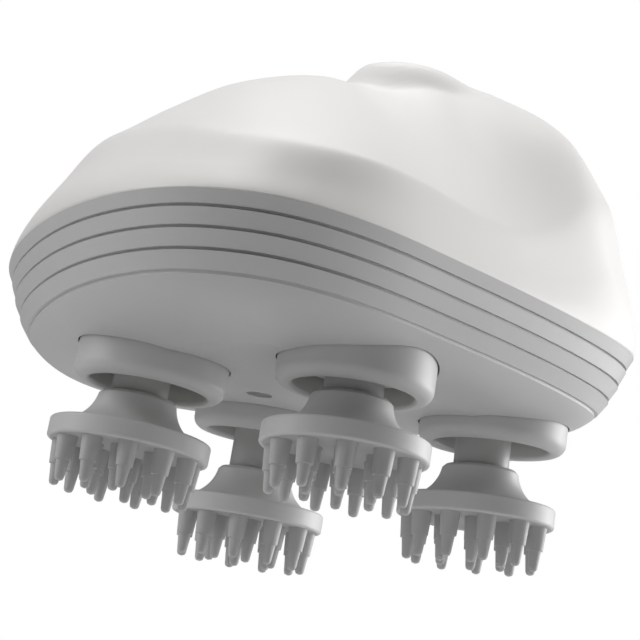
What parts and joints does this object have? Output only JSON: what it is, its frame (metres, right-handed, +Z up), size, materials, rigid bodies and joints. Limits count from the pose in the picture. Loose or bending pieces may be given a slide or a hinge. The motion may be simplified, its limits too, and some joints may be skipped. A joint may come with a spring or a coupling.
{
  "type": "electric scalp massager",
  "caption": "Hand-held electric scalp massager: domed glossy shell on a ribbed lower shell, with orbiting, floating heads of soft two-step nubs driven by a gear train.",
  "frame": {"origin": "On the surface it stands on, under the middle of the bounding box", "axes": "+Z up through the crown, +Y to the narrow tail, -Y to the broad nose, +X across, to the side with the shorter-reaching side head"},
  "size_m": [0.1372, 0.1195, 0.0954],
  "materials": {
    "shell_white": "gloss",
    "shell_grey": "satin",
    "seal_rubber": "matte",
    "chassis_plastic": "matte",
    "screw_steel": "satin",
    "axle_steel": "polished",
    "gear_plastic": "satin",
    "pinion_brass": "satin",
    "motor_steel": "satin",
    "bearing_brass": "satin",
    "spring_steel": "polished",
    "stem_plastic": "satin",
    "head_grey": "satin",
    "nub_silicone": "matte",
    "cell_can": "satin",
    "board_green": "satin",
    "switch_black": "satin",
    "socket_steel": "satin",
    "bezel_chrome": "polished",
    "button_grey": "gloss"
  },
  "bodies": {
    "housing": {"battery": "cell_can", "battery_cradle": "chassis_plastic", "button_bezel": "bezel_chrome", "button_spring": "spring_steel", "charging_socket": "socket_steel", "chassis_plate": "chassis_plastic", "circuit_board": "board_green", "collar_front": "shell_grey", "collar_left": "shell_grey", "collar_rear": "shell_grey", "collar_right": "shell_grey", "cover_screws": "screw_steel", "deck_screws": "screw_steel", "drive_axle": "axle_steel", "gearbox_cover": "chassis_plastic", "lower_shell": "shell_grey", "motor": "motor_steel", "reduction_axle": "axle_steel", "rotor_bearing_front": "bearing_brass", "rotor_bearing_left": "bearing_brass", "rotor_bearing_rear": "bearing_brass", "rotor_bearing_right": "bearing_brass", "shaft_seal_front": "seal_rubber", "shaft_seal_left": "seal_rubber", "shaft_seal_rear": "seal_rubber", "shaft_seal_right": "seal_rubber", "shell_gasket": "seal_rubber", "shell_screws": "screw_steel", "tact_switch": "switch_black", "top_shell": "shell_white"},
    "drive": {"drive_gear": "gear_plastic"},
    "reduction": {"reduction_gear": "gear_plastic"},
    "motor_rotor": {"motor_pinion": "pinion_brass"},
    "button": {"power_button": "button_grey"},
    "rotor_front": {"rotor_front": "gear_plastic", "float_spring_front": "spring_steel"},
    "head_front": {"stem_front": "stem_plastic", "head_hub_front": "head_grey", "nub_pad_front": "nub_silicone"},
    "rotor_right": {"rotor_right": "gear_plastic", "float_spring_right": "spring_steel"},
    "head_right": {"stem_right": "stem_plastic", "head_hub_right": "head_grey", "nub_pad_right": "nub_silicone"},
    "rotor_rear": {"rotor_rear": "gear_plastic", "float_spring_rear": "spring_steel"},
    "head_rear": {"stem_rear": "stem_plastic", "head_hub_rear": "head_grey", "nub_pad_rear": "nub_silicone"},
    "rotor_left": {"rotor_left": "gear_plastic", "float_spring_left": "spring_steel"},
    "head_left": {"stem_left": "stem_plastic", "head_hub_left": "head_grey", "nub_pad_left": "nub_silicone"}
  },
  "joints": [
    {"name": "drive_spin", "type": "hinge", "parent": "housing", "child": "drive", "pos_m": [0.0006, 0.0015, 0.0466], "axis": [0, 0, 1], "continuous": true},
    {"name": "reduction_spin", "type": "hinge", "parent": "housing", "child": "reduction", "pos_m": [-0.01722, -0.01632, 0.0562], "axis": [0, 0, 1], "continuous": true},
    {"name": "motor_spin", "type": "hinge", "parent": "housing", "child": "motor_rotor", "pos_m": [0.00308, -0.00893, 0.0562], "axis": [0, 0, 1], "continuous": true},
    {"name": "rotor_spin_front", "type": "hinge", "parent": "housing", "child": "rotor_front", "pos_m": [0.00142, -0.03217, 0.0243], "axis": [-0.0009, 0.0349, 0.9994], "continuous": true},
    {"name": "rotor_spin_right", "type": "hinge", "parent": "housing", "child": "rotor_right", "pos_m": [0.03398, -0.00272, 0.0253], "axis": [-0.0346, 0.0044, 0.9994], "continuous": true},
    {"name": "rotor_spin_rear", "type": "hinge", "parent": "housing", "child": "rotor_rear", "pos_m": [0.00236, 0.03505, 0.0266], "axis": [-0.0018, -0.0349, 0.9994], "continuous": true},
    {"name": "rotor_spin_left", "type": "hinge", "parent": "housing", "child": "rotor_left", "pos_m": [-0.03297, -0.00055, 0.0257], "axis": [0.0348, 0.0021, 0.9994], "continuous": true},
    {"name": "head_float_front", "type": "slide", "parent": "rotor_front", "child": "head_front", "axis": [-0.0009, 0.0349, 0.9994], "range_m": [-0.0054, 0.001], "stiffness_N_per_m": 1500, "deforming": ["float_spring_front"]},
    {"name": "head_float_right", "type": "slide", "parent": "rotor_right", "child": "head_right", "axis": [-0.0346, 0.0044, 0.9994], "range_m": [-0.0058, 0.0006], "stiffness_N_per_m": 1500, "deforming": ["float_spring_right"]},
    {"name": "head_float_rear", "type": "slide", "parent": "rotor_rear", "child": "head_rear", "axis": [-0.0018, -0.0349, 0.9994], "range_m": [-0.0031, 0.0033], "stiffness_N_per_m": 1500, "deforming": ["float_spring_rear"]},
    {"name": "head_float_left", "type": "slide", "parent": "rotor_left", "child": "head_left", "axis": [0.0348, 0.0021, 0.9994], "range_m": [-0.0003, 0.0061], "stiffness_N_per_m": 1500, "deforming": ["float_spring_left"]},
    {"name": "button_press", "type": "slide", "parent": "housing", "child": "button", "axis": [0, 0, -1], "range_m": [0, 0.0008], "stiffness_N_per_m": 400, "deforming": ["button_spring"]}
  ],
  "couplings": [
    {"joint": "reduction_spin", "follows": "drive_spin", "ratio": -3},
    {"joint": "motor_spin", "follows": "drive_spin", "ratio": 9},
    {"joint": "rotor_spin_front", "follows": "drive_spin", "ratio": -1.3333},
    {"joint": "rotor_spin_right", "follows": "drive_spin", "ratio": -1.3333},
    {"joint": "rotor_spin_rear", "follows": "drive_spin", "ratio": -1.3333},
    {"joint": "rotor_spin_left", "follows": "drive_spin", "ratio": -1.3333}
  ]
}
